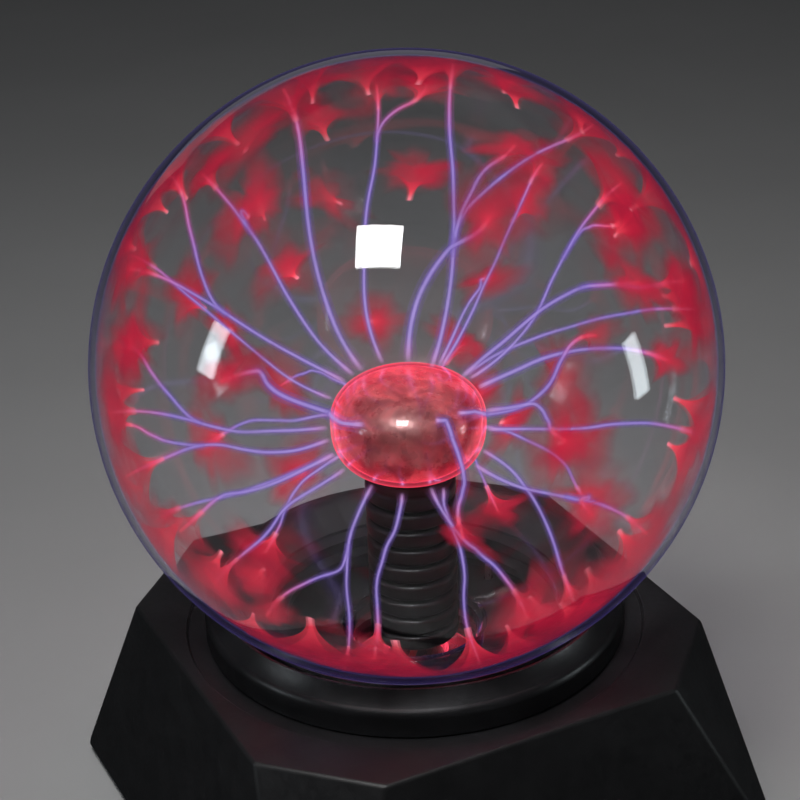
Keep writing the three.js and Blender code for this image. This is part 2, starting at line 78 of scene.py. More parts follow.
# From the axis to the long and to the short edges of the base's top face.
TOP_REACH = 82.4 * MM
CORNER_REACH = 94.9 * MM
SHELL_WALL = 2.5 * MM


def middle_of(node):
    low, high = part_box(node)
    return (low + high) / 2


def towards(azimuth, elevation):
    """The direction from the object to a place. Azimuth 0 is in front of it, and 90 on its right."""
    a, e = radians(azimuth), radians(elevation)
    return Vector((sin(a) * cos(e), -cos(a) * cos(e), sin(e)))


# ---- Mesh helpers ----

ON_AXIS = 1e-7


def new_object(name, mesh, sharp_angle=radians(35)):
    """An object in the scene, smooth but for edges sharper than the angle."""
    mesh.name = name
    mesh.polygons.foreach_set("use_smooth", [True] * len(mesh.polygons))
    mesh.set_sharp_from_angle(angle=sharp_angle)
    piece = bpy.data.objects.new(name, mesh)
    bpy.context.scene.collection.objects.link(piece)
    return piece


def mesh_from(points, faces):
    mesh = bpy.data.meshes.new("made")
    mesh.from_pydata([tuple(p) for p in points], [], faces)
    return mesh


def arc(centre, radii, start, end, steps):
    """Profile points on an arc of an ellipse, its angles in degrees from outwards to upwards."""
    found = []
    for i in range(steps + 1):
        angle = radians(start + (end - start) * i / steps)
        found.append((centre[0] + radii[0] * cos(angle), centre[1] + radii[1] * sin(angle)))
    return found


def turned(name, profile, segments=96, middle=(0, 0), sharp_angle=radians(35)):
    """A (radius, height) profile turned about a vertical axis. It ends on the axis or closes on itself."""
    points, rings = [], []
    for radius, height in profile:
        if radius < ON_AXIS:
            rings.append([len(points)] * segments)
            points.append((middle[0], middle[1], height))
            continue
        rings.append(list(range(len(points), len(points) + segments)))
        for i in range(segments):
            angle = tau * i / segments
            points.append((middle[0] + radius * cos(angle), middle[1] + radius * sin(angle), height))
    closed = profile[0][0] > ON_AXIS
    pairs = list(zip(rings, rings[1:])) + ([(rings[-1], rings[0])] if closed else [])
    faces = []
    for lower, upper in pairs:
        for i in range(segments):
            j = (i + 1) % segments
            corners = [lower[i], lower[j], upper[j], upper[i]]
            face = [c for k, c in enumerate(corners) if c != corners[k - 1]]
            if len(face) > 2:
                faces.append(face)
    mesh = mesh_from(points, faces)
    face_outwards(mesh)
    return new_object(name, mesh, sharp_angle)


def face_outwards(mesh):
    work = bmesh.new()
    work.from_mesh(mesh)
    bmesh.ops.recalc_face_normals(work, faces=work.faces)
    work.to_mesh(mesh)
    work.free()


def convex(points, bevel=0.0, segments=3):
    """The convex solid round the points, its edges rounded."""
    work = bmesh.new()
    for p in points:
        work.verts.new(p)
    bmesh.ops.convex_hull(work, input=work.verts)
    bmesh.ops.dissolve_limit(work, angle_limit=radians(1), verts=work.verts, edges=work.edges)
    if bevel:
        bmesh.ops.bevel(work, geom=list(work.edges), offset=bevel, segments=segments, profile=0.5,
                        affect="EDGES", clamp_overlap=True)
    bmesh.ops.recalc_face_normals(work, faces=work.faces)
    mesh = bpy.data.meshes.new("made")
    work.to_mesh(mesh)
    work.free()
    return mesh


def block(low, high, bevel=0.0, segments=3):
    corners = [(x, y, z) for x in (low[0], high[0]) for y in (low[1], high[1]) for z in (low[2], high[2])]
    return convex(corners, bevel, segments)


def cut(name, body, cutters):
    """body less the cutters, as a new object. The objects that go into it are removed."""
    for cutter in cutters:
        change = body.modifiers.new("cut", "BOOLEAN")
        change.operation = "DIFFERENCE"
        change.solver = "EXACT"
        change.object = cutter
    depsgraph = bpy.context.evaluated_depsgraph_get()
    mesh = bpy.data.meshes.new_from_object(body.evaluated_get(depsgraph))
    for used in (body, *cutters):
        bpy.data.objects.remove(used)
    mesh.materials.clear()
    return new_object(name, mesh)


def joined(name, objects):
    """One object from several. Their meshes stay separate shells in it, and keep their materials."""
    work = bmesh.new()
    materials = []
    for source in objects:
        first = len(work.faces)
        work.from_mesh(source.data)
        work.faces.ensure_lookup_table()
        shift = len(materials)
        materials += list(source.data.materials)
        for face in work.faces[first:]:
            face.material_index += shift
        bpy.data.objects.remove(source)
    mesh = bpy.data.meshes.new(name)
    work.to_mesh(mesh)
    work.free()
    for material in materials:
        mesh.materials.append(material)
    piece = bpy.data.objects.new(name, mesh)
    bpy.context.scene.collection.objects.link(piece)
    return piece


def finished(piece, material, slot, *nodes, body="housing"):
    """Gives a piece its material, hides the CAD nodes it stands for, and hangs it on the body it rides on.
    """
    if material is not None:
        piece.data.materials.clear()
        piece.data.materials.append(material)
    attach(piece, body)
    if nodes:
        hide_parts(*nodes)
    return piece


# ---- Materials ----

class Surface:
    """A material under construction: short calls that add nodes and link them."""

    def __init__(self, name):
        self.material = bpy.data.materials.new(name)
        self.material.use_nodes = True
        self.tree = self.material.node_tree
        self.shader = self.tree.nodes["Principled BSDF"]
        self.output = self.tree.nodes["Material Output"]
        self.place = self.add("ShaderNodeTexCoord").outputs["Object"]

    def add(self, kind, **settings):
        node = self.tree.nodes.new(kind)
        for name, value in settings.items():
            setattr(node, name, value)
        return node

    def link(self, source, target):
        self.tree.links.new(source, target)

    def set(self, **values):
        for name, value in values.items():
            self.shader.inputs[name.replace("_", " ")].default_value = value

    def noise(self, scale, detail=3, roughness=0.5, distortion=0.0):
        """Noise on the piece's own coordinates: scale is in features per metre."""
        node = self.add("ShaderNodeTexNoise")
        node.inputs["Scale"].default_value = scale
        node.inputs["Detail"].default_value = detail
        node.inputs["Roughness"].default_value = roughness
        node.inputs["Distortion"].default_value = distortion
        self.link(self.place, node.inputs["Vector"])
        return node.outputs["Fac"]

    def ramp(self, source, *stops):
        """A colour ramp. Each stop is a position and a colour, or a grey."""
        node = self.add("ShaderNodeValToRGB")
        for i, (position, colour) in enumerate(stops):
            rgb = (colour,) * 3 if isinstance(colour, (int, float)) else colour
            stop = node.color_ramp.elements[i] if i < 2 else node.color_ramp.elements.new(position)
            stop.position = position
            stop.color = (*rgb[:3], 1)
        self.link(source, node.inputs["Fac"])
        return node.outputs["Color"]

    def math(self, operation, first, second=0.0, clamp=False):
        node = self.add("ShaderNodeMath", operation=operation, use_clamp=clamp)
        for socket, value in zip(node.inputs, (first, second)):
            if isinstance(value, (int, float)):
                socket.default_value = value
            else:
                self.link(value, socket)
        return node.outputs[0]

    def blend(self, factor, first, second):
        """From one colour to another. A colour is three numbers or an output."""
        node = self.add("ShaderNodeMix", data_type="RGBA")
        self.link(factor, node.inputs["Factor"])
        for name, value in (("A", first), ("B", second)):
            socket = next(i for i in node.inputs if i.name == name and i.type == "RGBA")
            if isinstance(value, tuple):
                socket.default_value = (*value, 1)
            else:
                self.link(value, socket)
        return next(o for o in node.outputs if o.type == "RGBA")

    def bump(self, height, strength, distance):
        node = self.add("ShaderNodeBump")
        node.inputs["Strength"].default_value = strength
        node.inputs["Distance"].default_value = distance
        self.link(height, node.inputs["Height"])
        self.link(node.outputs["Normal"], self.shader.inputs["Normal"])


def moulded_plastic(name, shade, rough, grain=1.0):
    """Black plastic with the fine grain of a spark-eroded mould, faint scuffs, edges that handling has
    polished and a little dust."""
    s = Surface(name)
    deep, light = tuple(0.8 * c for c in shade), tuple(1.3 * c for c in shade)
    speck, bare = tuple(2.6 * c + 0.012 for c in shade), tuple(3.2 * c + 0.01 for c in shade)
    tone = s.ramp(s.noise(90, 4), (0.3, deep), (0.7, light))
    dust = s.ramp(s.noise(5200, 1), (0.70, 0.0), (0.78, 1.0))
    dusty = s.blend(dust, tone, speck)
    rounded = s.add("ShaderNodeBevel", samples=4)
    rounded.inputs["Radius"].default_value = 0.9 * MM
    flat = s.add("ShaderNodeNewGeometry").outputs["Normal"]
    agree = s.add("ShaderNodeVectorMath", operation="DOT_PRODUCT")
    s.link(rounded.outputs["Normal"], agree.inputs[0])
    s.link(flat, agree.inputs[1])
    edge = s.ramp(agree.outputs["Value"], (0.90, 1.0), (0.995, 0.0))
    worn = s.math("MULTIPLY", edge, s.ramp(s.noise(350, 4, 0.7), (0.40, 0.0), (0.65, 1.0)))
    s.link(s.blend(worn, dusty, bare), s.shader.inputs["Base Color"])
    scuffs = s.ramp(s.noise(240, 6, 0.65, 1.5), (0.35, rough - 0.06), (0.65, rough + 0.07))
    s.link(s.math("SUBTRACT", scuffs, s.math("MULTIPLY", edge, 0.12)), s.shader.inputs["Roughness"])
    s.bump(s.noise(2600, 2, 0.6), 0.22 * grain, 0.15 * MM)
    return s.material


def dark_rubber(name, shade=0.012, rough=0.42, grain=0.12, shine=0.5):
    """Smooth black rubber with a cloudy bloom on it."""
    s = Surface(name)
    s.set(Specular_IOR_Level=shine)
    bloom = s.noise(160, 5, 0.6)
    s.link(s.ramp(bloom, (0.3, shade * 0.8), (0.7, shade * 1.8)), s.shader.inputs["Base Color"])
    s.link(s.ramp(s.noise(300, 2), (0.3, rough - 0.04), (0.7, rough + 0.06)), s.shader.inputs["Roughness"])
    s.bump(s.noise(1500, 2), grain, 0.1 * MM)
    return s.material


def metal(name, colour, rough, scratch_scale=900):
    """Plated metal with fine marks and slightly uneven tone."""
    s = Surface(name)
    s.set(Metallic=1.0)
    dull = tuple(0.78 * c for c in colour)
    s.link(s.ramp(s.noise(220, 4), (0.3, dull), (0.7, colour)), s.shader.inputs["Base Color"])
    s.link(s.ramp(s.noise(scratch_scale, 4, 0.7), (0.3, rough * 0.7), (0.7, rough * 1.4)),
           s.shader.inputs["Roughness"])
    s.bump(s.noise(2400, 2), 0.1, 0.05 * MM)
    return s.material


def matt(name, colour, rough=0.6, scale=300, coat=0.0):
    """A plain body colour that varies a little, for the parts inside the base."""
    s = Surface(name)
    dark = tuple(0.7 * c for c in colour)
    s.link(s.ramp(s.noise(scale, 4), (0.3, dark), (0.7, colour)), s.shader.inputs["Base Color"])
    s.link(s.ramp(s.noise(scale * 4, 3), (0.3, rough - 0.1), (0.7, rough + 0.1)),
           s.shader.inputs["Roughness"])
    s.bump(s.noise(scale * 8, 2), 0.15, 0.05 * MM)
    s.set(Coat_Weight=coat)
    return s.material


def clear_glass(name, rim=None, sharpness=7):
    """Clear blown glass that lets lamps through, with a trace of handling marks. rim is the colour of a
    glow painted on the glass where it is seen edge on, standing for the gas light at its edge, and
    sharpness keeps it to the edge."""
    s = Surface(name)
    s.set(Transmission_Weight=1.0, IOR=1.47, Base_Color=(0.97, 0.975, 0.99, 1))
    marks = s.noise(26, 5, 0.6, 0.8)
    s.link(s.ramp(marks, (0.60, 0.0), (0.80, 0.05)), s.shader.inputs["Roughness"])
    surface = s.shader.outputs[0]
    if rim:
        # Painted rim glow: emission on the glass that grows where it is seen edge on.
        facing = s.add("ShaderNodeLayerWeight")
        facing.inputs["Blend"].default_value = 0.5
        painted_rim_glow = s.add("ShaderNodeEmission")
        painted_rim_glow.inputs["Color"].default_value = (*rim, 1)
        s.link(s.math("POWER", facing.outputs["Facing"], sharpness), painted_rim_glow.inputs["Strength"])
        both = s.add("ShaderNodeAddShader")
        s.link(surface, both.inputs[0])
        s.link(painted_rim_glow.outputs[0], both.inputs[1])
        surface = both.outputs[0]
    clear = s.add("ShaderNodeBsdfTransparent")
    clear.inputs["Color"].default_value = (0.95, 0.95, 0.96, 1)
    path = s.add("ShaderNodeLightPath")
    choice = s.add("ShaderNodeMixShader")
    s.link(path.outputs["Is Shadow Ray"], choice.inputs["Fac"])
    s.link(surface, choice.inputs[1])
    s.link(clear.outputs[0], choice.inputs[2])
    s.link(choice.outputs[0], s.output.inputs["Surface"])
    return s.material


def glowing_gas(name, colours, cover, strength, cloud=None):
    """Light in thin gas. The mesh attribute "along" runs from 0 to 1 down the filament or out over a foot.
    colours and cover are stops along it: what it shines with, and the share that it hides of what is
    behind it. cloud, a scale and two levels of noise, breaks it up."""
    s = Surface(name)
    along = s.add("ShaderNodeAttribute", attribute_name="along").outputs["Fac"]
    hidden = s.ramp(along, *cover)
    if cloud:
        scale, low, high = cloud
        drift = s.ramp(s.noise(scale, 1, 0.5, 0.5), (low, 0.15), (high, 1.0))
    else:
        drift = s.ramp(s.noise(60, 2), (0.3, 0.5), (0.65, 1.0))
    hidden = s.math("MULTIPLY", hidden, drift)
    shine = s.add("ShaderNodeEmission")
    s.link(s.ramp(along, *colours), shine.inputs["Color"])
    shine.inputs["Strength"].default_value = strength
    clear = s.add("ShaderNodeBsdfTransparent")
    mix = s.add("ShaderNodeMixShader")
    s.link(hidden, mix.inputs["Fac"])
    s.link(clear.outputs[0], mix.inputs[1])
    s.link(shine.outputs[0], mix.inputs[2])
    s.link(mix.outputs[0], s.output.inputs["Surface"])
    s.material.cycles.emission_sampling = "NONE"
    return s.material


PLASTIC = moulded_plastic("base_plastic", (0.013, 0.013, 0.014), 0.42)
JACK_PLASTIC = moulded_plastic("jack_plastic", (0.012, 0.012, 0.012), 0.5)
KNOB_PLASTIC = moulded_plastic("knob_plastic", (0.016, 0.016, 0.017), 0.38)
COLLAR_PLASTIC = moulded_plastic("collar_plastic", (0.011, 0.011, 0.012), 0.36, 0.6)
SLEEVE_RUBBER = dark_rubber("sleeve_rubber", 0.002, 0.34, grain=0.0, shine=0.4)
FOOT_RUBBER = dark_rubber("foot_rubber", 0.02, 0.6)
SCREW_STEEL = metal("screw_zinc", (0.55, 0.56, 0.58), 0.32)
NICKEL = metal("contact_nickel", (0.72, 0.70, 0.66), 0.2)
# Both carry a painted rim glow: faint violet on the globe, strong red on the bulb.
GLOBE_GLASS = clear_glass("globe_clear_glass", rim=(0.035, 0.025, 0.12), sharpness=9)
BULB_GLASS = clear_glass("bulb_clear_glass", rim=(1.3, 0.075, 0.15), sharpness=3)
STUB_GLASS = clear_glass("stub_clear_glass")
GASKET_RUBBER = dark_rubber("gasket_rubber", 0.014, 0.5)
LAMINATE = matt("board_laminate", (0.03, 0.16, 0.07), 0.35, 160, coat=0.3)
FERRITE = matt("sintered_ferrite", (0.05, 0.05, 0.055), 0.75, 500)
RESIN = matt("potting_resin", (0.018, 0.018, 0.022), 0.25, 120, coat=0.4)
COPPER = metal("enamelled_copper", (0.75, 0.33, 0.14), 0.3, 1500)
CHIP_BODY = matt("chip_epoxy", (0.03, 0.03, 0.032), 0.55, 900)
ALUMINIUM = metal("extruded_aluminium", (0.78, 0.79, 0.80), 0.38, 1200)
CAN_SLEEVE = matt("capacitor_sleeve", (0.02, 0.05, 0.2), 0.3, 200, coat=0.3)
LEAD_SILICONE = matt("lead_silicone", (0.5, 0.025, 0.02), 0.45, 250)

CORE_COLOURS = ((0.0, (0.80, 0.42, 0.78)), (0.08, (0.50, 0.38, 0.80)), (0.70, (0.42, 0.31, 0.76)),
                (0.86, (0.70, 0.26, 0.58)), (0.93, (1.00, 0.15, 0.23)), (1.0, (1.00, 0.08, 0.13)))
HALO_COLOURS = ((0.0, (0.42, 0.14, 0.38)), (0.10, (0.20, 0.13, 0.46)), (0.70, (0.17, 0.105, 0.44)),
                (0.86, (0.50, 0.08, 0.26)), (1.0, (0.80, 0.04, 0.08)))
FOOT_COLOURS = ((0.0, (1.00, 0.26, 0.33)), (0.14, (0.96, 0.055, 0.095)), (0.42, (0.58, 0.013, 0.045)),
                (1.0, (0.24, 0.006, 0.032)))
FILAMENT_CORE = glowing_gas("filament_core", CORE_COLOURS,
                            ((0.0, 0.0), (0.05, 0.6), (0.9, 0.6), (1.0, 0.3)), 1.2)
FILAMENT_BODY = glowing_gas("filament_body", HALO_COLOURS,
                            ((0.0, 0.0), (0.05, 0.38), (0.9, 0.38), (1.0, 0.15)), 1.1)
FILAMENT_HALO = glowing_gas("filament_halo", HALO_COLOURS,
                            ((0.0, 0.0), (0.05, 0.12), (0.9, 0.12), (1.0, 0.05)), 1.0)
FOOT_INNER = glowing_gas("foot_inner", FOOT_COLOURS,
                         ((0.0, 0.85), (0.15, 0.7), (0.5, 0.5), (1.0, 0.0)), 1.15, cloud=(70, 0.34, 0.62))
FOOT_OUTER = glowing_gas("foot_outer", FOOT_COLOURS,
                         ((0.0, 0.25), (0.2, 0.38), (0.55, 0.38), (1.0, 0.0)), 0.9, cloud=(45, 0.36, 0.62))


# ---- Glass, electrode and stem ----

def angle_at(radius, sphere):
    """The angle below the equator, in degrees, where a sphere has come in to a distance from the axis."""
    return -degrees(acos(radius / sphere))


def make_globe():
    """The globe, two walls thick, open at a short neck with a fire-polished rim."""
    neck, bore, end = 24 * MM, 22 * MM, GLOBE_LOW.z
    blend, polish = 1.5 * MM, 0.5 * MM
    centre, steps = (0, GLOBE_CENTRE.z), 96
    outer = arc(centre, (GLOBE_RADIUS,) * 2, 90, angle_at(neck + blend, GLOBE_RADIUS), steps)
    inner = arc(centre, (INSIDE_RADIUS,) * 2, angle_at(bore + blend, INSIDE_RADIUS), 90, steps)
    outer[0] = (0, outer[0][1])
    inner[-1] = (0, inner[-1][1])
    shoulder = outer[-1][1] - 2 * MM
    rim = [(neck, shoulder), (neck, end + polish), (neck - polish, end), (bore + polish, end),
           (bore, end + polish), (bore, shoulder)]
    globe = turned("globe_glass_blown", outer + rim + inner, 160)
    finished(globe, GLOBE_GLASS, "clear_glass", "globe_glass")


def bulb_quarter(across, up, fullness, inner_radius, steps):
    """A quarter of a superellipse, from the bulb's widest ring in to a distance from the axis."""
    power = 2 / fullness
    end = acos((inner_radius / across) ** (1 / power))
    found = []
    for i in range(steps + 1):
        angle = end * i / steps
        found.append((across * cos(angle) ** power, BULB_CENTRE.z + up * sin(angle) ** power))
    return found


def bulb_outline(inset, inner_radius, steps=26):
    """The bulb's profile from its top down, inset from its outside."""
    across = BULB_RADIUS - inset
    dome = bulb_quarter(across, BULB_DOME - inset, DOME_FULLNESS, 0, steps)[::-1]
    bowl = bulb_quarter(across, inset - BULB_BOWL, BOWL_FULLNESS, inner_radius, steps)
    dome[0] = (0, dome[0][1])
    return dome + bowl[1:]


def make_electrode():
    """The bulb, its stem tube, and the flare that closes the globe's neck."""
    tube, flare = 10 * MM, 21.6 * MM
    bore = tube - BULB_WALL
    neck_top = BULB_CENTRE.z - BULB_BOWL
    seal = ELECTRODE_LOW.z + 1.7 * MM
    flare_top = seal + 9 * MM
    outer = bulb_outline(0, tube + 1 * MM) + [(tube, neck_top), (tube, flare_top)]
    outer += [(tube + 1.6 * MM, seal + 4 * MM), (tube + 6 * MM, seal + 1 * MM), (flare, seal)]
    inner = [(flare, ELECTRODE_LOW.z), (tube + 5 * MM, seal - 0.9 * MM), (tube + 0.6 * MM, seal + 2.4 * MM)]
    inner += [(bore, flare_top), (bore, neck_top)] + bulb_outline(BULB_WALL, tube)[::-1]
    glass = turned("electrode_bulb_and_stem", outer + inner, 96)
    finished(glass, BULB_GLASS, "clear_glass", "electrode_glass")


def electrode_film_painted_glow():
    """Mirror film inside the bulb, with painted red light: a red tint and mottled red emission that stand
    for the gas lighting it, and a painted rim glow.
    """
    s = Surface("electrode_film_painted_glow")
    painted_glow_patches = s.noise(120, 4, 0.55, 0.6)
    s.set(Metallic=0.7)
    # Painted red light: the film's red tint and mottled emission stand for the glowing gas round it.
    s.link(s.ramp(painted_glow_patches, (0.34, (0.16, 0.07, 0.065)), (0.70, (0.34, 0.22, 0.20))),
           s.shader.inputs["Base Color"])
    s.link(s.ramp(s.noise(300, 4), (0.3, 0.22), (0.7, 0.38)), s.shader.inputs["Roughness"])
    s.link(s.ramp(painted_glow_patches, (0.36, (0.26, 0.006, 0.016)), (0.50, (0.50, 0.014, 0.030)),
                  (0.64, (1.00, 0.050, 0.075))), s.shader.inputs["Emission Color"])
    # Painted rim glow: the emission grows where the film is seen edge on.
    facing = s.add("ShaderNodeLayerWeight")
    facing.inputs["Blend"].default_value = 0.5
    edge = s.math("POWER", facing.outputs["Facing"], 1.4)
    s.link(s.math("ADD", s.math("MULTIPLY", edge, 0.9), 0.2), s.shader.inputs["Emission Strength"])
    s.bump(s.noise(150, 3, 0.55), 0.12, 0.6 * MM)
    s.material.cycles.emission_sampling = "NONE"
    return s.material


def make_lining():
    inset, thickness, opening = 1.5 * MM, 0.7 * MM, 9 * MM
    outline = bulb_outline(inset, opening) + bulb_outline(inset + thickness, opening)[::-1]
    lining = turned("electrode_mirror_film", outline, 96)
    finished(lining, electrode_film_painted_glow(), "electrode_metal", "electrode_lining")


def make_sleeve():
    """The ribbed sleeve: round-edged ribs, each with a narrow groove under it."""
    bore, groove, crest = 10.3 * MM, 12.7 * MM, 15.2 * MM
    rib_count, pitch, rib, neck, edge = 9, 6.8 * MM, 5.9 * MM, 2.4 * MM, 1.6 * MM
    chamfer = 0.6 * MM
    top = SLEEVE_HIGH.z
    profile = [(bore, SLEEVE_LOW.z), (bore, top), (groove - chamfer, top), (groove, top - chamfer)]
    rib_top = top - neck
    for _ in range(rib_count):
        middle_high = rib_top - edge
        middle_low = rib_top - rib + edge
        profile += arc((crest - edge, middle_high), (edge, edge), 90, 0, 6)
        profile += arc((crest - edge, middle_low), (edge, edge), 0, -90, 6)
        profile += [(groove, rib_top - rib - 0.1 * MM), (groove, rib_top - pitch + 0.1 * MM)]
        rib_top -= pitch
    profile += [(groove, SLEEVE_LOW.z)]
    sleeve = turned("stem_sleeve_ribbed", profile, 80, sharp_angle=radians(60))
    finished(sleeve, SLEEVE_RUBBER, "black_rubber", "stem_sleeve")


# ---- The discharge: filaments from the bulb to the glass, and their red feet ----

ROUTE_STEPS = 36
TUBE_SIDES = 8
THREAD_RADII = (0.42 * MM, 0.95 * MM, 1.9 * MM)
CLEAR_OF_GLASS = 0.5 * MM
CREEP_STEPS = 8

FILAMENT_SEED = 41
FEET_SEED = 7

# Each filament: where it starts on the bulb and ends on the glass, as (azimuth, elevation) from the
# middle of the bulb and of the globe. Then its strength, and its forks as (share of the way, azimuth,
# elevation).
FILAMENTS = [
    ((-150, 38), (-115, 70), 1.2, []),
    ((-175, 45), (160, 50), 0.9, [(0.72, 145, 50)]),
    ((-145, 32), (-155, 30), 0.9, [(0.60, -170, 15)]),
    ((-135, 28), (-95, 30), 0.9, [(0.52, -110, 45)]),
    ((95, 60), (110, 75), 1.1, [(0.34, 15, 60), (0.36, 90, 45)]),
    ((150, 60), (-5, 48), 1.3, []),
    ((100, 50), (135, -5), 0.8, []),
    ((70, 38), (25, 30), 1.0, [(0.66, 40, 25)]),
    ((80, 28), (40, 45), 0.8, [(0.62, 100, 15)]),
    ((85, 30), (75, 5), 0.8, []),
    ((75, 20), (85, -10), 1.1, []),
    ((50, 12), (0, 10), 1.0, []),
    ((45, 0), (50, -10), 0.9, []),
    ((60, -25), (45, -55), 0.9, []),
    ((80, -15), (90, -45), 0.7, []),
    ((35, -25), (20, -15), 0.9, [(0.5, 5, -5)]),
    ((-5, -42), (-5, -25), 0.9, []),
    ((10, -52), (-5, -55), 0.8, []),
    ((-35, -50), (-35, -35), 0.8, []),
    ((-65, -38), (-50, -55), 0.8, [(0.35, -55, -25)]),
    ((-95, -30), (-65, -20), 0.8, []),
    ((-120, -30), (-140, -55), 0.8, []),
    ((-100, -18), (-70, -10), 0.9, []),
    ((-110, -22), (-110, -30), 0.8, []),
    ((-105, -8), (-85, -5), 0.9, [(0.6, -115, -10)]),
    ((-112, -2), (-90, 5), 0.9, [(0.55, -130, 0)]),
    ((-125, 15), (-130, 20), 0.7, []),
    ((-140, -5), (-150, -30), 0.8, []),
    ((-165, 5), (-175, -25), 0.7, []),
    ((165, 0), (160, -40), 0.7, [(0.6, 140, -20)]),
    ((130, -10), (120, -55), 0.7, []),
    ((125, 20), (120, 25), 0.8, []),
]

# Filaments that creep over the bulb before they leave it: the places they pass, then where they end.
CREEPING = [
    ([(-62, 20), (-85, 14), (-112, 10)], (-60, 20), 1.3),
    ([(-4, 24), (5, 22), (6, 8)], (-18, -4), 1.1),
    ([(18, 24), (36, 18), (52, 8)], (10, 25), 1.0),
]

# Red gas with no filament of its own at the moment: (azimuth, elevation, radius in mm).
FEET_ALONE = [
    (-110, 30, 10), (-155, 0, 9), (-165, -10, 9), (180, 0, 11), (160, -15, 9), (-85, 20, 10),
    (125, 15, 12), (75, 55, 10), (65, 45, 11), (100, 15, 16), (65, 35, 12), (65, 20, 18),
    (45, 15, 9), (40, 0, 12), (60, -20, 13), (15, -30, 15), (135, -30, 9), (125, -35, 8),
    (115, -25, 11), (105, -35, 13), (-120, -5, 14), (-100, -15, 15), (-90, -25, 15), (-75, -45, 16),
    (-30, -45, 14), (5, -50, 15), (-155, 70, 12), (170, 65, 16), (140, 65, 15), (100, 65, 12),
    (-115, 45, 15), (-125, 35, 13), (-50, -40, 12), (-55, -15, 10), (20, -20, 12), (175, 40, 9),
    (40, -60, 13), (-105, -45, 14), (170, 15, 10), (150, 20, 10), (-65, 50, 10), (40, -35, 15),
    (60, 70, 12), (-90, 60, 12), (80, 5, 14), (-140, 50, 11), (150, -45, 11), (-170, -45, 12),
    (30, -50, 13),
]


def on_glass(azimuth, elevation):
    return GLOBE_CENTRE + towards(azimuth, elevation) * (INSIDE_RADIUS - CLEAR_OF_GLASS)


def on_bulb(azimuth, elevation, lift=0.6 * MM):
    way = towards(azimuth, elevation)
    upright = BULB_DOME if way.z > 0 else BULB_BOWL
    fullness = DOME_FULLNESS if way.z > 0 else BOWL_FULLNESS
    level = (hypot(way.x, way.y) / BULB_RADIUS) ** fullness + (abs(way.z) / upright) ** fullness
    return BULB_CENTRE + way * (level ** (-1 / fullness) + lift)


def outward(point):
    return (point - GLOBE_CENTRE).normalized()


def away_from_stem(point):
    """Keeps a place out of the ribbed sleeve."""
    clear, sleeve_below = 18 * MM, BULB_CENTRE.z - 14 * MM
    flat = point.xy.to_3d()
    if point.z < sleeve_below and flat.length < clear:
        flat = flat.normalized() * clear
        return Vector((flat.x, flat.y, point.z))
    return point


def wander(start, leave, finish, rng, sway=5 * MM):
    """A route off the bulb along `leave`, drifting a little, and straight onto the glass."""
    leaving, landing, rise, flicker = 0.38, 0.28, 0.05, 0.12
    reach = (finish - start).length
    first = start + leave * reach * leaving
    second = finish - outward(finish) * reach * landing + Vector((0, 0, rise * reach))
    drift = Vector((rng.uniform(0, 90), rng.uniform(0, 90), rng.uniform(0, 90)))
    points = []
    for i in range(ROUTE_STEPS + 1):
        t = i / ROUTE_STEPS
        u = 1 - t
        point = start * u ** 3 + first * (3 * u * u * t) + second * (3 * u * t * t) + finish * t ** 3
        slow = noise.noise_vector(drift + Vector((0, 0, 1.7 * t)))
        quick = noise.noise_vector(drift + Vector((0, 6 * t, 20)))
        point += (slow + flicker * quick) * sway * sin(tau / 2 * t)
        points.append(away_from_stem(point))
    return points


class Shells:
    """Nested closed shells of gas gathered into one mesh, each with its material and its "along" values."""

    def __init__(self):
        self.points, self.faces, self.along, self.looks = [], [], [], []

    def add(self, points, faces, along, look):
        first = len(self.points)
        self.points += points
        self.along += along
        self.faces += [[first + c for c in face] for face in faces]
        self.looks += [look] * len(faces)

    def piece(self, name, materials, slot):
        mesh = mesh_from(self.points, self.faces)
        mesh.attributes.new("along", "FLOAT", "POINT").data.foreach_set("value", self.along)
        for material in materials:
            mesh.materials.append(material)
        mesh.polygons.foreach_set("material_index", self.looks)
        face_outwards(mesh)
        made = new_object(name, mesh, radians(80))
        return finished(made, None, slot)


def tube_faces(rings, sides):
    """Faces of a closed tube whose points are its start, its rings in order, and its end."""
    faces = []
    last_ring = 1 + (rings - 1) * sides
    for k in range(sides):
        n = (k + 1) % sides
        faces.append([0, 1 + n, 1 + k])
        for i in range(rings - 1):
            low, high = 1 + i * sides, 1 + (i + 1) * sides
            faces.append([low + k, low + n, high + n, high + k])
        faces.append([last_ring + k, last_ring + n, last_ring + sides])
    return faces


def rings_along(route, radius_at, sides, first=0.0, last=1.0):
    """Rings of points square to a route, with the two ends closed by single points."""
    count = len(route)
    tangents = [(route[min(i + 1, count - 1)] - route[max(i - 1, 0)]).normalized() for i in range(count)]
    across = tangents[0].orthogonal().normalized()
    points, along = [route[0].copy()], [first]
    for i, (place, tangent) in enumerate(zip(route, tangents)):
        across = (across - tangent * across.dot(tangent)).normalized()
        up = tangent.cross(across)
        share = i / (count - 1)
        for k in range(sides):
            angle = tau * k / sides
            radius = radius_at(share, angle)
            points.append(place + across * (radius * cos(angle)) + up * (radius * sin(angle)))
            along.append(first + (last - first) * share)
    points.append(route[-1].copy())
    along.append(last)
    return points, tube_faces(count, sides), along


def add_thread(shells, route, strength, first=0.0):
    """A filament's three nested tubes. A fork starts part of the way along, so `first` isn't 0 there."""
    swelling, root_fade, thinning = 0.5, 14, 0.25
    for look, radius in enumerate(THREAD_RADII):
        def radius_at(share, angle, radius=radius):
            root = 1 + swelling * max(0.0, 1 - share * root_fade) * (first == 0)
            taper = 1 - thinning * share
            return radius * strength * root * taper
        shells.add(*rings_along(route, radius_at, TUBE_SIDES, first, 1.0), look)


